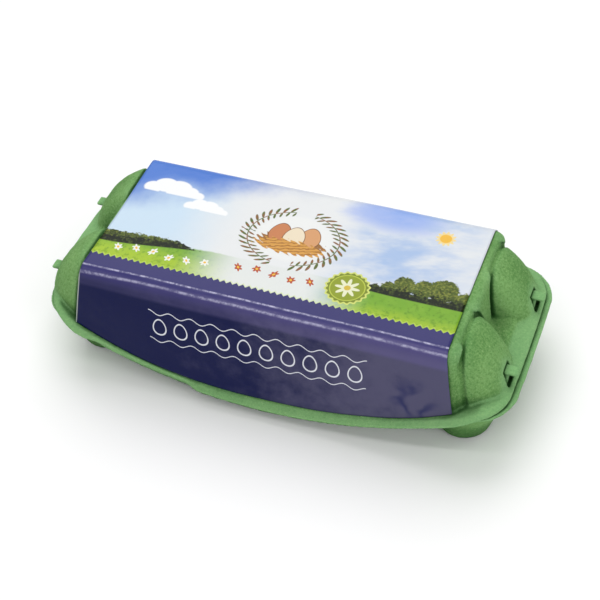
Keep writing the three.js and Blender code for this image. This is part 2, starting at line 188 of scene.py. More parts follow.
def parting(x, y):
    """Height of the surface where lid and tray meet."""
    return RIM_Z - dip(x) * smooth((DIP_BACK_Y - y) / (DIP_BACK_Y - DIP_FRONT_Y))


def rim_plan(x, y, rim):
    """Distance outside a rim's outline: a rounded rectangle whose sides bow outwards."""
    pressed = [smooth((f - v) / n) for v, f, n in zip((x, y), PRESS_FROM, PRESS_SPAN)]
    pressed = pressed[0] * pressed[1]
    bow_x, bow_y = rim["bow"]
    half_x = rim["half"] - bow_x
    half_y = (rim["back"] - rim["front"] - bow_y) / 2
    x = x - PRESS[0] * pressed - rim["middle"]
    y = y - PRESS[1] * pressed - (rim["back"] + rim["front"] + bow_y) / 2
    across = np.clip(x / half_x, -1, 1)
    along = np.clip(y / half_y, -1, 1)
    flat_x = np.abs(x) - bow_x * np.abs(across) * (1 - along * along)
    flat_y = np.abs(y) - bow_y * (1 - across * across) * np.maximum(-along, 0)
    qx = flat_x - half_x + RIM_CORNER
    qy = flat_y - half_y + RIM_CORNER
    outside = np.hypot(np.maximum(qx, 0), np.maximum(qy, 0))
    return outside + np.minimum(np.maximum(qx, qy), 0) - RIM_CORNER


def block(x, y, z):
    """The lid's flat top, its round edges and its leaning walls."""
    qx = np.abs(x - PANEL_X) - PANEL_HALF_X + PANEL_CORNER
    qy = np.abs(y - LID_Y) - PANEL_HALF_Y + PANEL_CORNER
    outside = np.hypot(np.maximum(qx, 0), np.maximum(qy, 0))
    plan = outside + np.minimum(np.maximum(qx, qy), 0) - PANEL_CORNER
    side = np.where(outside > 0, (np.maximum(qy, 0) / np.maximum(outside, 1e-9)) ** 2, qy > qx)
    radius = END_EDGE_R + (SHOULDER_R - END_EDGE_R) * side
    lean = END_DRAFT + (WALL_DRAFT - END_DRAFT) * side
    rise = z - PANEL_TOP + radius
    faces = np.maximum(plan * np.cos(lean) + rise * np.sin(lean), rise) - radius
    on_edge = (plan > 0) & (rise * np.cos(lean) > plan * np.sin(lean))
    return np.where(on_edge, np.hypot(plan, rise) - radius, faces)


def past_end_wall(x, z):
    """How far along the length a place lies outside the leaning face of the block's end wall."""
    face = PANEL_HALF_X + END_EDGE_R + (PANEL_TOP - END_EDGE_R - z) * math.tan(END_DRAFT)
    return np.abs(x - PANEL_X) - face


def domes(x, y, z):
    """The blunt ends of the rows of cells, which bulge out of the end walls."""
    offset = (np.abs(x - LID_X) - DOME_X, soft_abs(y - LID_Y, 0.5) - DOME_Y, z - DOME_Z)
    shares = [np.maximum(np.abs(v) / r, 1e-6) for v, r in zip(offset, DOME_RADII)]
    near = sum(v**DOME_POWER for v in shares) ** (1 / DOME_POWER)
    steep = [v ** (DOME_POWER - 1) / r for v, r in zip(shares, DOME_RADII)]
    steep = np.sqrt(sum(v * v for v in steep)) / near ** (DOME_POWER - 1)
    tip = (near - 1) / np.maximum(steep, 1e-3)
    return np.maximum(np.maximum(tip, z - DOME_TOP), -DOME_ROOT - past_end_wall(x, z))


def domed_block(x, y, z):
    """The block and its domes, with a crease pressed in round the foot of each dome."""
    body, dome = block(x, y, z), domes(x, y, z)
    joint = JOINT_DEPTH * smooth(1 - np.abs(body - dome) / JOINT_WIDTH)
    valley = np.clip(1 - np.abs(past_end_wall(x, z) + CREASE_IN) / CREASE_HALF_WIDTH, 0, 1)
    on_dome = smooth(1 - dome / CREASE_REACH)
    return np.minimum(body, dome) + np.maximum(joint, CREASE_DEPTH * valley * on_dome)


def gusset(x, y, z):
    """The web between the domes of an end, and the platform that slopes from it to the rim."""
    x = np.abs(x - LID_X)
    across = y - LID_Y
    low = (WEB_FROM - 6, -WEB_HALF_Y, RIM_Z - 8)
    web = round_box(x, across, z, low, (WEB_TO, WEB_HALF_Y, WEB_TOP), 1.4)
    spread = (PLATFORM_OUTER_Y - PLATFORM_INNER_Y) / (PLATFORM_TO - WEB_FROM)
    half = PLATFORM_INNER_Y + (x - WEB_FROM) * spread
    slope = (PLATFORM_INNER_Z - PLATFORM_OUTER_Z) / (PLATFORM_TO - WEB_TO)
    top = PLATFORM_OUTER_Z + (PLATFORM_TO - x) * slope
    platform = shared(shared(np.abs(across) - half, x - PLATFORM_TO, 2), z - top, 1)
    return joined(web, platform, 2)


def skirt(x, y, z):
    """The lid's flange, which flares up to the walls, with the thumb notch in its front edge."""
    plan = rim_plan(x, y, LID_RIM)
    notch = smooth((x - NOTCH_FROM) / NOTCH_RAMP) * smooth((NOTCH_TO - x) / NOTCH_RAMP)
    edge = rim_plan(x, y - NOTCH_DEPTH * notch * smooth(-y / 20 - 1), LID_RIM)
    front = smooth((FLARE_FRONT_Y - y) / 8) * smooth((DIP_HALF_X + 8 - np.abs(x - LID_X)) / 24)
    flare = (END_RISE + (FLARE_RISE - END_RISE) * front) * smooth(-plan / FLARE_WIDTH)
    return shared(edge, z - parting(x, y) - FLANGE - flare, 0.6)


def windows(x, y, z):
    """The slots in the domes for the tray's hooks."""
    low = (WINDOW_FROM, LOCK_Y - WINDOW_HALF_Y, RIM_Z - 12)
    high = (WINDOW_TO, LOCK_Y + WINDOW_HALF_Y, WINDOW_TOP)
    return round_box(np.abs(x - LID_X), np.abs(y - LID_Y), z, low, high, 0.5)


def lid_field(x, y, z):
    """The whole lid, down to the surface where it meets the tray."""
    solid = domed_block(x, y, z)
    solid = joined(solid, gusset(x, y, z), 2.0)
    solid = joined(solid, skirt(x, y, z), 1.2)
    solid = shared(solid, -windows(x, y, z), 0.5)
    return shared(solid, parting(x, y) - z, 0.4)


def cups(x, y, z):
    """Ten tapered cups with round feet, squarer towards the rim."""
    column = np.clip(np.round(x / PITCH), -2, 2)
    squareness = smooth((z - CUP_FOOT_R) / (RIM_Z - CUP_FOOT_R))
    power = 2 + (CUP_TOP_POWER - 2) * squareness
    px = np.abs(x - column * PITCH) + 1e-6
    py = np.abs(np.abs(y) - ROW_Y) + 1e-6
    out = (px**power + py**power) ** (1 / power) - CUP_BASE_R
    rise = z - CUP_FOOT_R
    faces = np.maximum(out * math.cos(CUP_TAPER) - rise * math.sin(CUP_TAPER), -rise) - CUP_FOOT_R
    on_foot = (out > 0) & (rise * math.cos(CUP_TAPER) + out * math.sin(CUP_TAPER) < 0)
    return np.where(on_foot, np.hypot(out, rise) - CUP_FOOT_R, faces)


def web_and_flange(x, y, z):
    """The tray's web between its cups, thin at the flange."""
    plan = rim_plan(x, y, TRAY_RIM)
    thin = parting(x, y) - RIM_GAP - FLANGE
    deep = np.minimum(thin, WEB_UNDER)
    under = thin + (deep - thin) * smooth((-plan - TRAY_FLANGE_WIDTH) / WEB_SLOPE_WIDTH)
    return shared(plan, under - z, 0.5)


def hooks(x, y, z):
    """The four hooks, each a stem with a nose that juts out."""
    px = np.abs(x)
    py = np.abs(y - LID_Y) - LOCK_Y
    stem_high = (HOOK_FROM + HOOK_STEM, HOOK_HALF_Y, HOOK_TOP)
    stem = round_box(px, py, z, (HOOK_FROM, -HOOK_HALF_Y, RIM_Z - 4), stem_high, 0.6)
    nose_low = (HOOK_FROM, -HOOK_HALF_Y, HOOK_TOP - HOOK_NOSE)
    nose = round_box(px, py, z, nose_low, (HOOK_TO, HOOK_HALF_Y, HOOK_TOP), 0.6)
    return joined(stem, nose, 0.8)


def tray_field(x, y, z):
    """The whole tray, up to the surface where it meets the lid."""
    solid = joined(web_and_flange(x, y, z), cups(x, y, z), 5)
    solid = shared(solid, z - parting(x, y) + RIM_GAP, 0.4)
    return joined(solid, hooks(x, y, z), 1)


# ---- From a field to a mesh ---------------------------------------------------------------------


def grid_net(field, low, high, step):
    """A net of four-sided faces over the zero level of a field, one point to each cube it crosses."""
    axes = [np.arange(a, b + step, step) for a, b in zip(low, high)]
    values = field(*np.meshgrid(*axes, indexing="ij", sparse=True))
    inside = values < 0
    corners = [(i, j, k) for i in (0, 1) for j in (0, 1) for k in (0, 1)]
    shape = [n - 1 for n in values.shape]

    def corner_of(array, corner):
        return array[tuple(slice(c, c + n) for c, n in zip(corner, shape))]

    count = sum(corner_of(inside, c).astype(np.int8) for c in corners)
    cells = np.argwhere((count > 0) & (count < 8))
    number = np.full(shape, -1)
    number[tuple(cells.T)] = np.arange(len(cells))
    points = cell_points(values, cells, corners) * step + [a[0] for a in axes]
    return points, net_faces(inside, number)


def cell_points(values, cells, corners):
    """In each cube, the mean of the places where its edges cross the zero level."""
    at = {c: values[tuple((cells + c).T)] for c in corners}
    total = np.zeros(cells.shape)
    crossings = np.zeros(len(cells))
    for axis in range(3):
        for corner in corners:
            if corner[axis]:
                continue
            other = tuple(1 if i == axis else v for i, v in enumerate(corner))
            a, b = at[corner], at[other]
            crosses = (a < 0) != (b < 0)
            place = np.array(corner, float) * crosses[:, None]
            place[crosses, axis] += a[crosses] / (a[crosses] - b[crosses])
            total += place
            crossings += crosses
    return cells + total / crossings[:, None]


def net_faces(inside, number):
    """A four-sided face across each grid edge that enters or leaves the solid."""
    faces = []
    for axis in range(3):
        after = np.roll(inside, -1, axis)
        changes = np.argwhere(inside != after)
        ends = np.array(number.shape)
        u, v = (axis + 1) % 3, (axis + 2) % 3
        fits = (changes[:, axis] < ends[axis]) & (changes[:, u] > 0) & (changes[:, v] > 0)
        changes = changes[fits & (changes[:, u] < ends[u]) & (changes[:, v] < ends[v])]
        ring = []
        for du, dv in ((1, 1), (0, 1), (0, 0), (1, 0)):
            cell = changes.copy()
            cell[:, u] -= du
            cell[:, v] -= dv
            ring.append(number[tuple(cell.T)])
        ring = np.stack(ring, 1)
        leaving = inside[tuple(changes.T)]
        faces.append(np.where(leaving[:, None], ring, ring[:, ::-1]))
    return np.concatenate(faces)


def slopes(field, points, reach=0.05):
    """The gradient of a field at some points."""
    result = np.empty(points.shape)
    for axis in range(3):
        shift = np.zeros(3)
        shift[axis] = reach
        result[:, axis] = field(*(points + shift).T) - field(*(points - shift).T)
    return result / (2 * reach)


def settled(field, points, step):
    """Points moved on to the zero level of the field."""
    for _ in range(SETTLE_PASSES):
        slope = slopes(field, points)
        size = np.maximum((slope**2).sum(1), 0.05)
        move = -field(*points.T)[:, None] * slope / size[:, None]
        length = np.linalg.norm(move, axis=1, keepdims=True)
        points = points + move * np.minimum(1, 0.6 * step / np.maximum(length, 1e-9))
    return points


def ripple(points, wavelength, seed, waves=18):
    """Smooth noise from about -1 to 1, a sum of plane waves in all directions."""
    random = np.random.default_rng(seed)
    total = np.zeros(len(points))
    for _ in range(waves):
        direction = random.normal(size=3)
        direction *= 2 * math.pi / wavelength * random.uniform(0.6, 1.5) / np.linalg.norm(direction)
        total += np.sin(points @ direction + random.uniform(0, 2 * math.pi))
    return total / math.sqrt(waves)


def uneven(points):
    """The slight unevenness of the whole pack, alike for every piece so that they still fit."""
    sway = np.stack([ripple(points, SWAY_LENGTH, seed) for seed in (1, 2, 3)], 1)
    height = np.clip(points[:, 2:] / PANEL_TOP, 0, 1)
    return points + sway * SWAY * height - SAG * height


def mesh_object(name, points, faces, material):
    """An object at the origin from points in millimetres and four-sided faces."""
    mesh = bpy.data.meshes.new(name)
    mesh.vertices.add(len(points))
    mesh.vertices.foreach_set("co", (np.asarray(points, np.float32) * MM).ravel())
    mesh.loops.add(faces.size)
    mesh.loops.foreach_set("vertex_index", faces.astype(np.int32).ravel())
    mesh.polygons.add(len(faces))
    mesh.polygons.foreach_set("loop_start", np.arange(0, faces.size, 4, dtype=np.int32))
    mesh.polygons.foreach_set("use_smooth", np.ones(len(faces), bool))
    mesh.update(calc_edges=True)
    mesh.materials.append(material)
    obj = bpy.data.objects.new(name, mesh)
    bpy.context.scene.collection.objects.link(obj)
    return obj


def thinned(obj, most):
    """The same object with its flatter parts in fewer triangles."""
    triangles = 2 * len(obj.data.polygons)
    if triangles > most:
        modifier = obj.modifiers.new("fewer", "DECIMATE")
        modifier.ratio = most / triangles
        graph = bpy.context.evaluated_depsgraph_get()
        mesh = bpy.data.meshes.new_from_object(obj.evaluated_get(graph))
        obj.modifiers.clear()
        obj.data = mesh
    return obj


def kept_in(obj, low, high):
    """The same object with every point inside a box given in millimetres."""
    points = np.empty(3 * len(obj.data.vertices), np.float32)
    obj.data.vertices.foreach_get("co", points)
    points = np.clip(points.reshape(-1, 3), low * MM, high * MM)
    obj.data.vertices.foreach_set("co", points.astype(np.float32).ravel())
    return obj


def shell(name, field, low, high, material):
    """A pulp shell: its fine mesh, with the low relief of moulded pulp."""
    margin = 2 * STEP
    points, faces = grid_net(field, low - margin, high + margin, STEP)
    points = settled(field, points, STEP)
    slope = slopes(field, points)
    normal = slope / np.maximum(np.linalg.norm(slope, axis=1, keepdims=True), 1e-9)
    relief = sum(depth * ripple(points, length, seed) for depth, length, seed in RELIEF)
    points = uneven(points + normal * relief[:, None])
    return kept_in(thinned(mesh_object(name, points, faces, material), MOST_TRIANGLES), low, high)


def sheet_faces(rows, columns):
    """Faces of a closed sheet: an outer grid of points, then the same grid for the inner side."""
    number = np.arange(2 * rows * columns).reshape(2, rows, columns)
    outer, inner = number

    def between(a, b, c, d):
        return np.stack([v.ravel() for v in (a, b, c, d)], 1)

    return np.concatenate([
        between(outer[:-1, :-1], outer[:-1, 1:], outer[1:, 1:], outer[1:, :-1]),
        between(inner[:-1, :-1], inner[1:, :-1], inner[1:, 1:], inner[:-1, 1:]),
        between(outer[0, :-1], inner[0, :-1], inner[0, 1:], outer[0, 1:]),
        between(outer[-1, :-1], outer[-1, 1:], inner[-1, 1:], inner[-1, :-1]),
        between(outer[:-1, 0], outer[1:, 0], inner[1:, 0], inner[:-1, 0]),
        between(outer[:-1, -1], inner[:-1, -1], inner[1:, -1], outer[1:, -1]),
    ])


# ---- The label's shape --------------------------------------------------------------------------


def over_edge(side, angle, drop, offset):
    """y and z on the block's round edge, or drop below it on its wall, side -1 being the front."""
    radius = SHOULDER_R + offset
    out = radius * np.sin(angle) + drop * math.tan(WALL_DRAFT)
    return LID_Y + side * (PANEL_HALF_Y + out), PANEL_TOP + offset - radius * (1 - np.cos(angle)) - drop


def label_edge_z(x):
    """Height of the label's lower edge at the front."""
    end = LABEL_HALF_X + LABEL_FLARE * (PANEL_TOP - LABEL_FRONT_END_Z)
    t = np.minimum(1, np.abs(x) / end)
    return LABEL_FRONT_MID_Z + (LABEL_FRONT_END_Z - LABEL_FRONT_MID_Z) * t**LABEL_EDGE_POWER


def label_layer(offset):
    """One face of the label, in rows from the front edge over the top to the back edge."""
    u = np.linspace(-1, 1, PAPER_COLUMNS)
    turns = np.linspace(0, math.pi / 2 - WALL_DRAFT, EDGE_ROWS)
    wall_top = over_edge(1, turns[-1], 0, offset)[1]
    end_half_x = LABEL_HALF_X + LABEL_FLARE * (PANEL_TOP - LABEL_FRONT_END_Z)
    rows = []
    for share in np.linspace(1, 0, FRONT_ROWS, endpoint=False):
        rows.append(over_edge(-1, turns[-1], (wall_top - label_edge_z(u * end_half_x)) * share, offset))
    rows += [over_edge(-1, angle, 0 * u, offset) for angle in turns[::-1]]
    flat_y = np.linspace(LID_Y - PANEL_HALF_Y, LID_Y + PANEL_HALF_Y, TOP_ROWS)[1:-1]
    rows += [(y + 0 * u, PANEL_TOP + offset + 0 * u) for y in flat_y]
    rows += [over_edge(1, angle, 0 * u, offset) for angle in turns]
    for share in np.linspace(0, 1, BACK_ROWS)[1:]:
        rows.append(over_edge(1, turns[-1], (wall_top - LABEL_BACK_Z) * share + 0 * u, offset))
    y = np.stack([row[0] + 0 * u for row in rows])
    z = np.stack([row[1] + 0 * u for row in rows])
    x = LID_X + u * (LABEL_HALF_X + LABEL_FLARE * (PANEL_TOP - np.minimum(z, PANEL_TOP)))
    return np.stack([x, y, z], -1)


def paper_waves(points):
    """How far the paper stands off the pulp: it bulges on the long front wall and lies flat on top."""
    below = smooth((PANEL_TOP - 4 - points[:, 2]) / 12) * (points[:, 1] < 0)
    bulges = 1 + 0.8 * ripple(points * (1, 0, 1.6), BULGE_LENGTH, BULGE_SEED)
    return PAPER_OFF + PAPER_BULGE * below * bulges.clip(0)


def label_sheet(material):
    """The paper label, a thin closed sheet bent over the lid."""
    layers = [label_layer(offset) for offset in (PAPER_OUTER, PAPER_INNER)]
    rows = len(layers[0])
    points = np.concatenate([layer.reshape(-1, 3) for layer in layers])
    stand_off = np.tile(paper_waves(points[: rows * PAPER_COLUMNS]), 2)
    front = smooth((-points[:, 1] - PANEL_HALF_Y) / 4)
    points[:, 1] -= stand_off * front
    sheet = mesh_object("label_sheet", uneven(points), sheet_faces(rows, PAPER_COLUMNS), material)
    return kept_in(sheet, LABEL_LOW - (0, 2, 0), LABEL_HIGH)


# ---- The hinge ----------------------------------------------------------------------------------


def hinge_fold(material):
    """The fold along the back that joins tray and lid, a bent strip of pulp."""
    path = np.array([(TRAY_HIGH[1] - depth, height) for depth, height in HINGE_PATH])
    along = np.linspace(0, 1, HINGE_ROWS)
    places = np.linspace(0, 1, len(path))
    centre = np.stack([smooth_curve(along, places, path[:, i]) for i in (0, 1)], 1)
    tangent = np.gradient(centre, axis=0)
    normal = np.stack([tangent[:, 1], -tangent[:, 0]], 1)
    normal /= np.linalg.norm(normal, axis=1, keepdims=True)
    x = np.linspace(HINGE_HALF_X, -HINGE_HALF_X, HINGE_COLUMNS)
    layers = []
    for offset in (0.0, -HINGE_THICK):
        section = centre + normal * offset
        grid = np.empty((HINGE_ROWS, HINGE_COLUMNS, 3))
        grid[..., 0] = x
        grid[..., 1:] = section[:, None, :]
        layers.append(grid)
    points = np.concatenate([layer.reshape(-1, 3) for layer in layers])
    depth, waves = HINGE_RELIEF
    points[:, 1:] += depth * np.stack([ripple(points, length, seed) for length, seed in waves], 1)
    faces = sheet_faces(HINGE_ROWS, HINGE_COLUMNS)
    return kept_in(mesh_object("hinge_fold", uneven(points), faces, material), TRAY_LOW, TRAY_HIGH)


def smooth_curve(t, places, values):
    """A smooth line through a few values, by averaging straight stretches."""
    width = 0.5 * (places[1] - places[0])
    shifts = np.linspace(-width, width, 9)
    return np.mean([np.interp(np.clip(t + s, 0, 1), places, values) for s in shifts], 0)


# ---- Materials ----------------------------------------------------------------------------------


class Number:
    """A number that a material works out at each point, written with ordinary arithmetic."""

    def __init__(self, tree, socket):
        self.tree = tree
        self.socket = socket

    def math(self, operation, *others):
        """The result of a maths node for this number and others."""
        node = self.tree.nodes.new("ShaderNodeMath")
        node.operation = operation
        for socket, value in zip(node.inputs, (self, *others)):
            plug(self.tree, socket, value)
        return Number(self.tree, node.outputs[0])

    def __add__(self, other):
        return self.math("ADD", other)

    def __sub__(self, other):
        return self.math("SUBTRACT", other)

    def __mul__(self, other):
        return self.math("MULTIPLY", other)

    def __truediv__(self, other):
        return self.math("DIVIDE", other)

    def __rsub__(self, other):
        return self * -1.0 + other

    __radd__ = __add__
    __rmul__ = __mul__

    def __neg__(self):
        return self * -1.0


def plug(tree, socket, value):
    """Gives a socket a constant or links it."""
    if isinstance(value, Number):
        tree.links.new(value.socket, socket)
    elif hasattr(value, "is_linked"):
        tree.links.new(value, socket)
    else:
        socket.default_value = value


def ramp(value, low, high, from_value=0.0, to_value=1.0):
    """Goes smoothly from one value to another as value goes from low to high."""
    node = value.tree.nodes.new("ShaderNodeMapRange")
    node.interpolation_type = "SMOOTHSTEP"
    plug(value.tree, node.inputs["Value"], value)
    numbers = {"From Min": low, "From Max": high, "To Min": from_value, "To Max": to_value}
    for name, number in numbers.items():
        plug(value.tree, node.inputs[name], number)
    return Number(value.tree, node.outputs["Result"])


def inside(distance, blur=0.1):
    """1 where a distance is negative, 0 where it is positive."""
    return ramp(distance, -blur, blur, 1.0, 0.0)


def noise(tree, vector, scale, detail=2.0, roughness=0.5):
    """Noise about 0, from -0.5 to 0.5. The scale is in patches to the millimetre."""
    node = tree.nodes.new("ShaderNodeTexNoise")
    plug(tree, node.inputs["Vector"], vector)
    node.inputs["Scale"].default_value = scale
    node.inputs["Detail"].default_value = detail
    node.inputs["Roughness"].default_value = roughness
    return Number(tree, node.outputs["Fac"]) - 0.5


def linear(rgb):
    """A screen colour from 0 to 255 as the linear colour that a material takes."""
    share = [v / 255 for v in rgb]
    return [v / 12.92 if v <= 0.04045 else ((v + 0.055) / 1.055) ** 2.4 for v in share] + [1.0]


def mixed(tree, amount, under, over):
    """The colour over laid on the colour under, where amount is 1."""
    node = tree.nodes.new("ShaderNodeMix")
    node.data_type = "RGBA"
    plug(tree, node.inputs["Factor"], amount)
    for name, value in (("A", under), ("B", over)):
        socket = [s for s in node.inputs if s.name == name and s.type == "RGBA"][0]
        plug(tree, socket, linear(value) if isinstance(value, tuple) else value)
    return [s for s in node.outputs if s.type == "RGBA"][0]


def millimetres(tree):
    """The point on the object, in millimetres: its vector and its x, y and z."""
    place = tree.nodes.new("ShaderNodeTexCoord")
    scale = tree.nodes.new("ShaderNodeVectorMath")
    scale.operation = "SCALE"
    tree.links.new(place.outputs["Object"], scale.inputs[0])
    scale.inputs["Scale"].default_value = 1 / MM
    split = tree.nodes.new("ShaderNodeSeparateXYZ")
    tree.links.new(scale.outputs[0], split.inputs[0])
    return scale.outputs[0], [Number(tree, socket) for socket in split.outputs]


def new_material(name, roughness, specular=0.5):
    """A material with its node tree and its shader, whose finish is set."""
    material = bpy.data.materials.new(name)
    material.use_nodes = True
    tree = material.node_tree
    shader = tree.nodes["Principled BSDF"]
    shader.inputs["Roughness"].default_value = roughness
    shader.inputs["Specular IOR Level"].default_value = specular
    return material, tree, shader


def bumped(tree, shader, height, distance):
    """Gives a shader a bump of that height, in metres, where the number is 1."""
    node = tree.nodes.new("ShaderNodeBump")
    node.inputs["Distance"].default_value = distance
    plug(tree, node.inputs["Height"], height)
    tree.links.new(node.outputs["Normal"], shader.inputs["Normal"])


def openness(tree, reach, under=False):
    """1 on an open surface, less in a hollow narrower than the reach, or under the surface of an edge."""
    node = tree.nodes.new("ShaderNodeAmbientOcclusion")
    node.samples = 8  # few rays, as the render takes many samples
    node.inside = under
    node.inputs["Distance"].default_value = reach
    return Number(tree, node.outputs["AO"])


# Colours of the pulp, as seen on a screen, from 0 to 255.
LID_TONES = (84, 135, 66), (138, 184, 112)
TRAY_TONES = (84, 138, 68), (136, 186, 112)
# Painted shade, laid into creases, hollows and valleys.
CREASE_SHADE = (22, 74, 20)
# Paler convex edges: partly wear, partly painted highlight.
EDGE_WEAR_AND_HIGHLIGHT = (150, 202, 142)
PALE_FIBRE = (214, 226, 170)
DARK_FIBRE = (64, 118, 58)
PULP_BUMP = 0.0005  # metres


def pulp_material(name, tones):
    """Dyed moulded pulp: mottled, matte, with a fine fibre grain, with painted shade in its creases and
    hollows, and convex edges paler from wear and painted highlight.
    """
    material, tree, shader = new_material(name, 0.92, 0.2)
    place, _ = millimetres(tree)
    patches = noise(tree, place, 0.045, 3.0)
    flecks = noise(tree, place, 0.8, 4.0, 0.7)
    grain = noise(tree, place, 1.6, 3.0, 0.7)
    deep, pale = tones
    body = mixed(tree, ramp(patches * 0.7 + flecks * 1.2, -0.4, 0.4), deep, pale)
    # Convex edges paler: partly wear, partly painted highlight.
    body = mixed(tree, ramp(openness(tree, 0.006, True), 0.97, 0.6, 0.0, 0.5), body, EDGE_WEAR_AND_HIGHLIGHT)
    body = mixed(tree, ramp(grain, 0.08, 0.28, 0.0, 0.4), body, PALE_FIBRE)
    body = mixed(tree, ramp(grain, -0.1, -0.28, 0.0, 0.45), body, DARK_FIBRE)
    # Painted shade: darker in creases and narrow hollows, then in wider valleys and recesses.
    body = mixed(tree, ramp(openness(tree, 0.005), 0.95, 0.5, 0.0, 0.6), body, CREASE_SHADE)
    body = mixed(tree, ramp(openness(tree, 0.03), 0.85, 0.3, 0.0, 0.85), body, CREASE_SHADE)
    plug(tree, shader.inputs["Base Color"], body)
    bumped(tree, shader, flecks * 0.8 + grain * 0.8, PULP_BUMP)
    return material


# ---- The label's print --------------------------------------------------------------------------
# Colours, as seen on a screen, from 0 to 255.
BLUE = (84, 124, 202)
BRIGHT_BLUE = (128, 158, 226)
LAVENDER = (158, 182, 218)
PALE_BLUE = (194, 214, 230)
WHITE = (220, 222, 223)
DARK_LEAF = (16, 26, 8)
LEAF = (80, 96, 36)
SUNLIT_LEAF = (140, 146, 62)
LIME = (162, 190, 50)
EDGE_LIME = (196, 214, 110)
MEADOW = (114, 162, 48)
PALE_GRASS = (142, 180, 62)
DARK_GRASS = (80, 128, 34)
CLOUD_WHITE = (236, 237, 238)
NAVY = (10, 18, 68)
# Painted sheen: the navy lighter on top, where light falls on it.
LIT_TOP_NAVY = (58, 56, 108)
# Painted reflection: the front paler towards the right.
REFLECTED_NAVY = (81, 79, 108)
# Painted highlight along the folds of the paper.
FOLD_HIGHLIGHT = (188, 186, 214)
# Painted highlight: a pale band along the rounded shoulder.
SHOULDER_HIGHLIGHT_NAVY = (92, 86, 132)
# Painted shade in the dents of the crumpled paper.
CRUMPLE_SHADE_NAVY = (14, 26, 84)
HALO = (228, 229, 226)
WREATH_GREEN = (90, 104, 52)
WREATH_BROWN = (134, 92, 60)
STRAW_SHADE = (150, 104, 56)
STRAW = (206, 152, 74)
STRAW_STALK = (164, 112, 52)
BROWN = (112, 74, 46)
SUN = (230, 180, 66)
SUN_RAYS = (236, 208, 120)
LINE_WHITE = (224, 226, 234)
PAPER_EDGE = (196, 206, 196)

# Places and sizes of the print, in millimetres: x from the middle of the label, y and z as in the CAD.
TOOTH_PITCH = 3.2
TOP_EDGE_Y = -30.4  # between the picture and the navy front, the middle of the teeth
CLOUDS = (((-71.0, 22.5), 6.4), ((-50.0, 14.5), 4.6))
FIELD_Y = -14.6  # the far edge of the field behind the round trees
# The round trees at the right: place along the edge, height of the middle above the field, radius.
CROWNS = ((48, 1, 3.2), (54, 3, 4.4), (61, 7, 5.6), (70, 7, 5.8), (79, 8.6, 7.4), (90, 4.4, 5.8))
ROSETTE_AT = (36.0, -17.0)
WREATH_Y, WREATH_RADII = 7.0, (23.0, 18.5)
NEST_EGG_RADII = (5.2, 6.8)
# The eggs in the nest: x, y and colour.
NEST_EGGS = ((-7.6, 9.0, (192, 124, 82)), (7.6, 9.4, (206, 152, 106)), (0, 8.0, (226, 212, 186)))
# The rows of flowers: left end, right end, height and colour.
FLOWER_ROWS = ((-84.0, -30.0, -22.5, (228, 230, 222)), (-22.5, 22.5, -19.0, (176, 84, 56)))
FLOWER_PITCH = 9.0
# The rosette from the outside in: radius, lobes, their depth, blur of the edge, colour.
ROSETTE = (
    (10.6, 20, 0.45, 0.12, (202, 210, 112)),
    (9.6, 20, 0.45, 0.1, (120, 134, 46)),
    (8.5, 0, 0.0, 0.1, (184, 196, 76)),
    (8.0, 0, 0.0, 0.1, (138, 152, 44)),
    (4.4, 8, 1.7, 0.1, (222, 224, 190)),
    (1.6, 0, 0.0, 0.1, (204, 176, 66)),
)
SUN_AT = (70.0, 28.6)
EGG_PITCH, EGG_Z, EGG_RADII = 11.0, 42.0, (3.3, 4.4)  # the outlined eggs on the front
WAVE_HEIGHTS = (34.0, 50.0)  # z of the waves under and over them
WAVE_TURN = 0.571  # radians to the millimetre, about one wave to an egg
ROW_HALF_X = 55.0
FOLD_LINES = ((-38.9, 1.0), (-42.1, 0.75))  # y and strength of the painted highlight lines along the folds
CRUMPLE_AT, CRUMPLE_RADII = (78.0, 35.0), (9.0, 9.0)  # x and z on the front
PAPER_BUMP = 0.0006  # metres


def ellipse(x, y, middle, radii):
    """Distance outside an ellipse, near enough for its edge."""
    px = (x - middle[0]) / radii[0]
    py = (y - middle[1]) / radii[1]
    reach = (px * px + py * py).math("SQRT")
    return (reach - 1.0) * min(radii)


def egg(x, y, middle, radii):
    """Distance outside an egg that stands on its blunt end."""
    py = (y - middle[1]) / radii[1]
    px = (x - middle[0]) / radii[0] / (1.0 - py * 0.16)
    return ((px * px + py * py).math("SQRT") - 1.0) * min(radii)


def line(distance, width):
    """1 on a line of that width along the edge of a shape."""
    return inside(distance.math("ABSOLUTE") - width / 2)


def bar(value, low, high):
    """Distance outside the stretch between two values."""
    return (value - (low + high) / 2).math("ABSOLUTE") - (high - low) / 2


def both(a, b):
    """Distance outside what two shapes have in common."""
    return a.math("MAXIMUM", b)


def either(a, b):
    """Distance outside two shapes taken together."""
    return a.math("MINIMUM", b)


def polar(x, y, middle):
    """Distance and direction from a middle."""
    px, py = x - middle[0], y - middle[1]
    return (px * px + py * py).math("SQRT"), py.math("ARCTAN2", px)


def disc(place, radius, lobes=0, depth=0.0):
    """Distance outside a disc, from the place's distance and direction. Its edge may have lobes."""
    reach, turn = place
    edge = reach - radius
    return edge - (turn * lobes).math("COSINE") * depth if lobes else edge


def spot(tree, x, y):
    """A flat vector for stretched noise."""
    node = tree.nodes.new("ShaderNodeCombineXYZ")
    plug(tree, node.inputs["X"], x)
    plug(tree, node.inputs["Y"], y)
    return node.outputs[0]


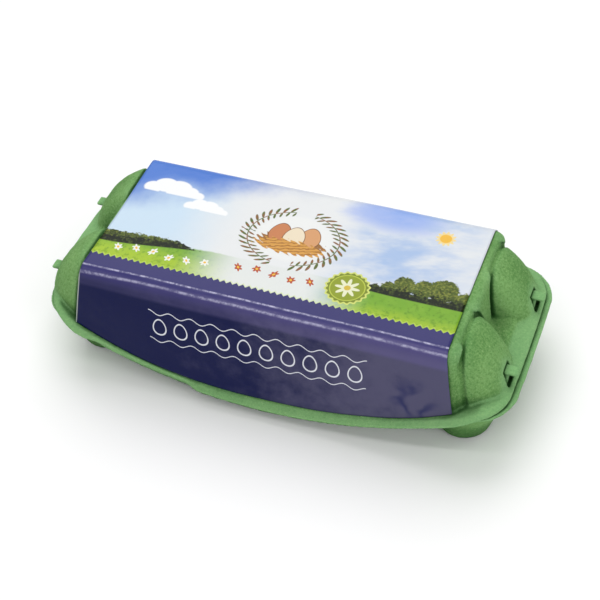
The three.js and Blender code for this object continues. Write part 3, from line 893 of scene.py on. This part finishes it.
def sky(tree, place, x, y):
    """Blue in the back left corner, haze in the middle and pale blue streaks at the right."""
    clouds = noise(tree, place, 0.03, 4.0, 0.6)
    streaks = noise(tree, spot(tree, x * 0.4 + y * 0.3, y - x * 0.3), 0.06, 4.0, 0.6)
    body = mixed(tree, ramp(x + clouds * 20.0, -26.0, -66.0), WHITE, PALE_BLUE)
    from_corner = (x + 91.0) * 0.4 - (y - 39.3) + clouds * 26.0
    body = mixed(tree, ramp(from_corner, 40.0, 11.0), body, BLUE)
    right = ramp(x + clouds * 16.0, 14.0, 40.0)
    body = mixed(tree, ramp(streaks, -0.16, 0.18, 0.08, 0.95) * right, body, LAVENDER)
    bright = ramp(ellipse(x, y, (43.0, 38.0), (22.0, 11.0)) + streaks * 18.0, 5.0, -6.0) * 0.7
    body = mixed(tree, bright, body, BRIGHT_BLUE)
    return mixed(tree, ramp(x + streaks * 20.0, 76.0, 92.0) * 0.6, body, WHITE)


def horizon(x):
    """Height of the field's far edge, lower towards the left end."""
    return ramp(x, -92.0, -30.0, -20.0, -13.5) + ramp(x, 20.0, 60.0, 0.0, -1.4)


def meadow(tree, place, x, y, body):
    """Grass that is lime at the near edge and fades out in the middle of the picture."""
    tufts = noise(tree, place, 0.5, 3.0, 0.6)
    near = ramp(y + tufts * 5.0 + ramp(x, 10.0, 50.0, 0.0, 5.0), -17.0, -27.0)
    grass = mixed(tree, near, MEADOW, LIME)
    rows = ramp(noise(tree, place, 0.16, 2.0), -0.2, 0.2, 0.0, 0.3)
    grass = mixed(tree, rows, grass, PALE_GRASS)
    grass = mixed(tree, ramp(tufts, 0.0, 0.2, 0.0, 0.5), grass, DARK_GRASS)
    spread = ramp(x.math("ABSOLUTE"), 16.0, 50.0)
    cover = inside(y - horizon(x) + tufts * 1.2, 0.6) * (spread * 0.94 + 0.06)
    return mixed(tree, cover, body, grass)


def trees(tree, place, x, y, body):
    """A far row of trees at the left, and round ones at the right."""
    leaves = noise(tree, place, 0.5, 4.0, 0.7)
    row_top = y - horizon(x) - 6.6 + ramp(x, -75.0, -45.0, 0.0, 2.8) + leaves * 6.0
    crowns = both(row_top + ramp(x, -56.0, -37.0, 0.0, 6.0), x + 37.0)
    light = ramp(y - horizon(x) + leaves * 9.0, 0.5, 7.0)
    for cx, rise, radius in CROWNS:
        crown = ellipse(x, y, (cx, FIELD_Y + rise), (radius, radius)) + leaves * 4.6
        crowns = either(crowns, crown)
        lit = ramp(crown + (x - cx) * 0.5 - (y - FIELD_Y - rise) * 0.7, -1.0, -7.0)
        light = light.math("MAXIMUM", lit)
    undergrowth = both(y - horizon(x) - 3.0 + leaves * 3.0, 44.0 - x)
    above = both(either(crowns, undergrowth), horizon(x) - 1.2 - y)
    foliage = mixed(tree, ramp(leaves * 1.5 + light * 0.4, -0.05, 0.5), DARK_LEAF, LEAF)
    sunlit = ramp(noise(tree, place, 0.8, 3.0) + light * 0.2, 0.14, 0.36, 0.0, 0.7)
    foliage = mixed(tree, sunlit, foliage, SUNLIT_LEAF)
    return mixed(tree, inside(above, 0.35), body, foliage)


def cloud(tree, x, y, middle, size, body):
    """A plain white cloud made of round puffs."""
    puffs = ((-1.7, 0, 0.8), (-0.8, 0.45, 1), (0.3, 0.3, 1.15), (1.3, 0.05, 0.85), (2.1, -0.15, 0.6))
    shape = None
    for dx, dy, r in puffs:
        puff = ellipse(x, y, (middle[0] + dx * size, middle[1] + dy * size), (r * size, r * size * 0.8))
        shape = puff if shape is None else either(shape, puff)
    shape = both(shape, middle[1] - 0.45 * size - y)
    return mixed(tree, inside(shape, 0.5), body, CLOUD_WHITE)


def rosette(tree, x, y, body):
    """A lime disc with a scalloped edge, a thin ring and an eight-petalled flower."""
    place = polar(x, y, ROSETTE_AT)
    for radius, lobes, depth, blur, tone in ROSETTE:
        body = mixed(tree, inside(disc(place, radius, lobes, depth), blur), body, tone)
    return body


def wreath(tree, place, x, y, body):
    """Two leafy sprigs that curve round the nest and leave a gap at the top."""
    reach, turn = polar(x / WREATH_RADII[0], (y - WREATH_Y) / WREATH_RADII[1], (0.0, 0.0))
    out = (reach - 1.0) * 20.0
    along = ((turn * 6.0 + out * 0.22 + 100.0).math("MODULO", 1.0) - 0.5) * 3.6
    leaves = either(
        ellipse(along, out, (0.0, 1.9), (0.85, 1.9)), ellipse(along, out, (0.6, -1.5), (0.75, 1.5))
    )
    stem = out.math("ABSOLUTE") - 0.25
    gap = 5.0 - x.math("ABSOLUTE")
    tint = ramp(noise(tree, place, 0.35, 2.0), -0.05, 0.08)
    leaf = mixed(tree, tint, WREATH_GREEN, WREATH_BROWN)
    body = mixed(tree, inside(out + 3.0, 2.0) * 0.6, body, HALO)
    return mixed(tree, inside(both(either(leaves, stem), gap), 0.15), body, leaf)


def nest(tree, place, x, y, body):
    """Three eggs in a nest of straw."""
    mottle = noise(tree, place, 0.35, 2.0)
    straw = (x * 1.3 + y * 2.1).math("SINE") * 0.7 + mottle * 3.0
    back = ellipse(x, y, (0, 3.0), (17.0, 6.6)) + straw
    body = mixed(tree, inside(back, 0.3), body, STRAW_SHADE)
    for cx, cy, tone in NEST_EGGS:
        shape = egg(x, y, (cx, cy), NEST_EGG_RADII)
        body = mixed(tree, inside(shape - 0.35), body, BROWN)
        body = mixed(tree, inside(shape), body, tone)
    front = ellipse(x, y, (0, 0.8), (16.4, 4.6)) + straw
    stalks = ramp((x * 0.9 - y * 3.0 + mottle * 8.0).math("SINE"), 0.1, 0.7)
    return mixed(tree, inside(front, 0.3), body, mixed(tree, stalks, STRAW, STRAW_STALK))


def flowers(tree, x, y, body):
    """Small white flowers in the grass at the left, and a row of red ones under the nest."""
    for left, right, height, petal in FLOWER_ROWS:
        along = (x - left).math("MODULO", FLOWER_PITCH)
        across = y - height - (x * 0.5).math("SINE") * 1.2
        place = polar(along, across, (FLOWER_PITCH / 2, 0.0))
        row = bar(x, left, right)
        body = mixed(tree, inside(both(disc(place, 1.9, 6, 0.5), row), 0.15), body, petal)
        body = mixed(tree, inside(both(disc(place, 0.7), row)), body, SUN)
    return body


def small_sun(tree, x, y, body):
    """A small sun in the sky at the back right."""
    place = polar(x, y, SUN_AT)
    body = mixed(tree, inside(disc(place, 4.4, 12, 0.7), 0.2) * 0.8, body, SUN_RAYS)
    return mixed(tree, inside(disc(place, 2.9), 0.15), body, SUN)


def top_picture(tree, place, x, y):
    """The landscape with its motifs."""
    body = sky(tree, place, x, y)
    body = meadow(tree, place, x, y, body)
    body = trees(tree, place, x, y, body)
    for middle, size in CLOUDS:
        body = cloud(tree, x, y, middle, size, body)
    body = wreath(tree, place, x, y, body)
    body = nest(tree, place, x, y, body)
    body = flowers(tree, x, y, body)
    body = rosette(tree, x, y, body)
    return small_sun(tree, x, y, body)


def front_motif(tree, x, z, body):
    """White line drawings on the front: a row of ten eggs between two waves."""
    along = (x + 10 * EGG_PITCH).math("MODULO", EGG_PITCH) - EGG_PITCH / 2
    drawn = line(egg(along, z, (0, EGG_Z), EGG_RADII), 0.6)
    wave = (x * WAVE_TURN).math("COSINE") * 1.1
    for height in WAVE_HEIGHTS:
        drawn = drawn.math("MAXIMUM", line(z - height - wave, 0.5))
    return mixed(tree, drawn * inside(bar(x, -ROW_HALF_X, ROW_HALF_X)), body, LINE_WHITE)


def folds(tree, place, y, body):
    """The two folds of the paper along the shoulder, with painted highlights along them in broken glints.
    """
    wobble = noise(tree, place, 0.02, 2.0) * 1.6
    glints = ramp(noise(tree, place, 0.35, 4.0, 0.8), -0.14, 0.16, 0.15, 1.0)
    for fold_y, strength in FOLD_LINES:
        fold = inside((y - fold_y + wobble).math("ABSOLUTE") - 0.4, 0.35)
        body = mixed(tree, fold * glints * strength, body, FOLD_HIGHLIGHT)
    return body


def paper_edge(tree, x, z, body):
    """The pale cut edge of the paper down its left side at the front."""
    half = (PANEL_TOP - z).math("MAXIMUM", 0.0) * LABEL_FLARE + LABEL_HALF_X
    edge = inside(half + x - 0.5, 0.15) * inside(z - PANEL_TOP + 3.0, 2.0)
    return mixed(tree, edge * 0.8, body, PAPER_EDGE)


def crumples(tree, place, x, z):
    """Dents in the paper at the lower right of the front."""
    folded = noise(tree, place, 0.06, 2.0, 0.5)
    dents = ramp((folded + 0.02).math("ABSOLUTE"), 0.11, 0.0)
    return dents * inside(ellipse(x, z, CRUMPLE_AT, CRUMPLE_RADII), 6.0)


def navy_front(tree, place, x, y, z, crumple):
    """The plain navy front: painted sheen makes it lighter on top, painted reflection paler towards the
    right, a painted highlight runs along the shoulder, and painted shade lies in its dents.
    """
    blotches = noise(tree, place, 0.03, 3.0) * 80.0 + noise(tree, place, 0.1, 4.0, 0.6) * 110.0
    # Painted reflection: paler towards the right in blotches, fading out up towards the shoulder.
    painted_reflection = ramp(x + blotches, -30.0, 80.0) * ramp(z, 63.0, 58.0)
    # Painted sheen makes the navy lighter on top.
    navy = mixed(tree, painted_reflection, mixed(tree, ramp(z, 58.0, 64.0), NAVY, LIT_TOP_NAVY), REFLECTED_NAVY)
    # Painted highlight: a paler band along the shoulder, stronger towards the right.
    shine = ramp(z, 55.0, 57.5) * ramp(z, 65.2, 64.2) * ramp(x + blotches, -90.0, 90.0, 0.2, 0.75)
    navy = mixed(tree, shine, navy, SHOULDER_HIGHLIGHT_NAVY)
    # Painted shade in the dents at the lower right.
    navy = mixed(tree, crumple * 0.85, navy, CRUMPLE_SHADE_NAVY)
    return folds(tree, place, y, front_motif(tree, x, z, navy))


def label_material():
    """Coated paper with a landscape on top and a plain navy front with a toothed edge."""
    material, tree, shader = new_material("printed paper", 0.17, 0.12)
    place, (x, y, z) = millimetres(tree)
    x = x - LID_X
    teeth = (x + 200.0).math("PINGPONG", TOOTH_PITCH / 2) - TOOTH_PITCH / 4
    edge = y - TOP_EDGE_Y + teeth
    picture = mixed(tree, inside(edge - 0.9, 0.12) * 0.4, top_picture(tree, place, x, y), EDGE_LIME)
    crumple = crumples(tree, place, x, z)
    picture = mixed(tree, inside(edge), picture, navy_front(tree, place, x, y, z, crumple))
    plug(tree, shader.inputs["Base Color"], paper_edge(tree, x, z, picture))
    creases = noise(tree, place, 0.05, 2.0) * 1.4 - crumple * 0.5
    bumped(tree, shader, creases + noise(tree, place, 0.5, 2.0) * 0.12, PAPER_BUMP)
    return material


def floor_material():
    """A plain pale matte floor."""
    material, _, shader = new_material("floor", 0.6)
    shader.inputs["Base Color"].default_value = (0.97, 0.97, 0.97, 1)
    return material


# ---- The object ---------------------------------------------------------------------------------


def dress(piece, node):
    """Puts a piece in the place of a CAD node."""
    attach(piece, "root")
    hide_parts(node)


def carton():
    """The four dressed pieces."""
    lid_pulp = pulp_material("lid pulp", LID_TONES)
    tray_pulp = pulp_material("tray pulp", TRAY_TONES)
    dress(shell("lid_shell", lid_field, LID_LOW, LID_HIGH, lid_pulp), "lid")
    dress(shell("tray_shell", tray_field, TRAY_LOW, TRAY_HIGH, tray_pulp), "tray")
    dress(hinge_fold(tray_pulp), "tray")
    dress(label_sheet(label_material()), "label")


# ---- Stage, light and camera --------------------------------------------------------------------


FLOOR_HALF = 3.0  # metres
BODY_MIDDLE = Vector((0, 0, 0.5 * LABEL_HIGH[2] * MM))
# The lights: name, place and size in metres, and power in watts.
LIGHTS = (
    ("key", (-0.20, 0.50, 1.05), (1.1, 1.1), 7.8),
    ("strip", (0.10, -0.42, 1.05), (1.7, 0.03), 2.5),
    ("low strip", (0.10, -0.85, 0.90), (1.7, 0.03), 2.5),
    ("right", (1.10, -0.50, 0.60), (0.7, 0.7), 2.6),
)
SKY_STRENGTH = 0.44


def floor():
    """The floor that the carton stands on."""
    corners = np.array([(-1, -1, 0), (1, -1, 0), (1, 1, 0), (-1, 1, 0)]) * FLOOR_HALF / MM
    plane = mesh_object("floor", corners, np.array([[0, 1, 2, 3]]), floor_material())


def area_light(name, place, size, power):
    """A soft light aimed at the middle of the carton."""
    data = bpy.data.lights.new(name, "AREA")
    data.shape = "RECTANGLE"
    data.size, data.size_y = size
    data.energy = power
    light = bpy.data.objects.new(name, data)
    light.location = place
    light.rotation_euler = (BODY_MIDDLE - Vector(place)).to_track_quat("-Z", "Y").to_euler()
    bpy.context.scene.collection.objects.link(light)


def lights():
    """A large soft light, two strips for the highlights along the folds, a side light and a pale sky."""
    for light in LIGHTS:
        area_light(*light)
    world = bpy.data.worlds.new("studio")
    world.use_nodes = True
    world.node_tree.nodes["Background"].inputs["Color"].default_value = (1, 1, 1, 1)
    world.node_tree.nodes["Background"].inputs["Strength"].default_value = SKY_STRENGTH
    bpy.context.scene.world = world


CAMERA_PLACE = Vector((0.1969, -0.4329, 0.5084))
CAMERA_TURN = math.radians(24.11)  # round the object, from the front towards the right end
CAMERA_RISE = math.radians(45.18)  # above the horizon
CAMERA_ROLL = math.radians(-4.66)
CAMERA_LENS = 81.34


def camera():
    """The camera that was fitted to the photo."""
    data = bpy.data.cameras.new("camera")
    data.sensor_width = 36
    data.lens = CAMERA_LENS
    data.clip_start = 0.01
    back = Vector((
        math.sin(CAMERA_TURN) * math.cos(CAMERA_RISE),
        -math.cos(CAMERA_TURN) * math.cos(CAMERA_RISE),
        math.sin(CAMERA_RISE),
    ))
    right = Vector((0, 0, 1)).cross(back).normalized()
    up = back.cross(right)
    roll = Matrix.Rotation(CAMERA_ROLL, 3, "Z")
    turn = Matrix((right, up, back)).transposed() @ roll
    eye = bpy.data.objects.new("camera", data)
    eye.matrix_world = Matrix.Translation(CAMERA_PLACE) @ turn.to_4x4()
    bpy.context.scene.collection.objects.link(eye)
    bpy.context.scene.camera = eye


carton()
floor()
lights()
camera()
bpy.context.scene.view_settings.view_transform = "Standard"
